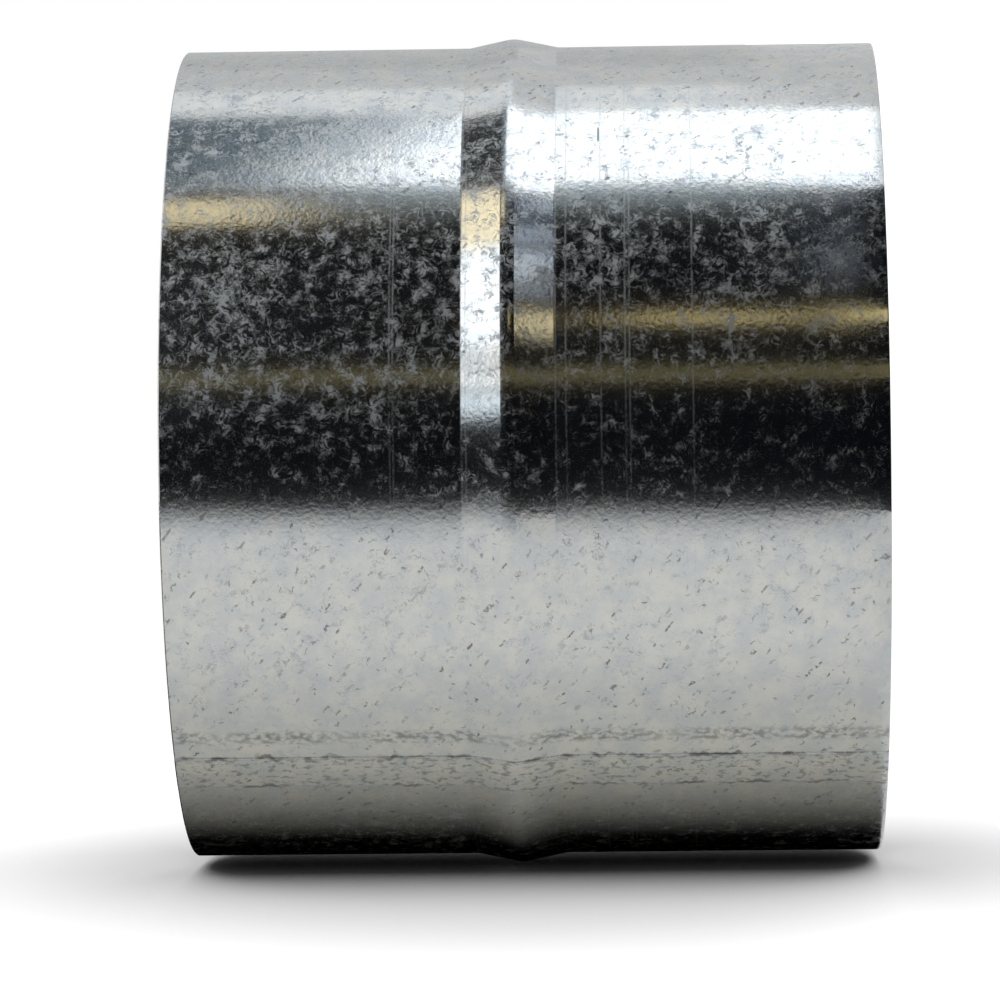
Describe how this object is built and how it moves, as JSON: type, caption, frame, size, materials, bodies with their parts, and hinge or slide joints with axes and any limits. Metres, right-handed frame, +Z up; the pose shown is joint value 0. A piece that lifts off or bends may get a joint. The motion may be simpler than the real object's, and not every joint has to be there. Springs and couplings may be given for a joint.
{
  "type": "duct connector",
  "caption": "Short round sleeve of rolled galvanised sheet with a stop bead round its middle, pushed into the ends of round ducts to join them in line.",
  "frame": {"origin": "middle of the lower rim's circle, on the surface that the connector stands on", "axes": "+Z up along the duct axis, -Y towards the side that the picture shows, seam between -Y and -X"},
  "size_m": [0.101, 0.101, 0.0836],
  "materials": {
    "galvanised_steel": "bright hot-dip zinc with a fine mottled spangle and light handling scratches"
  },
  "bodies": {
    "root": {"connector_sleeve": "galvanised_steel"}
  },
  "joints": []
}
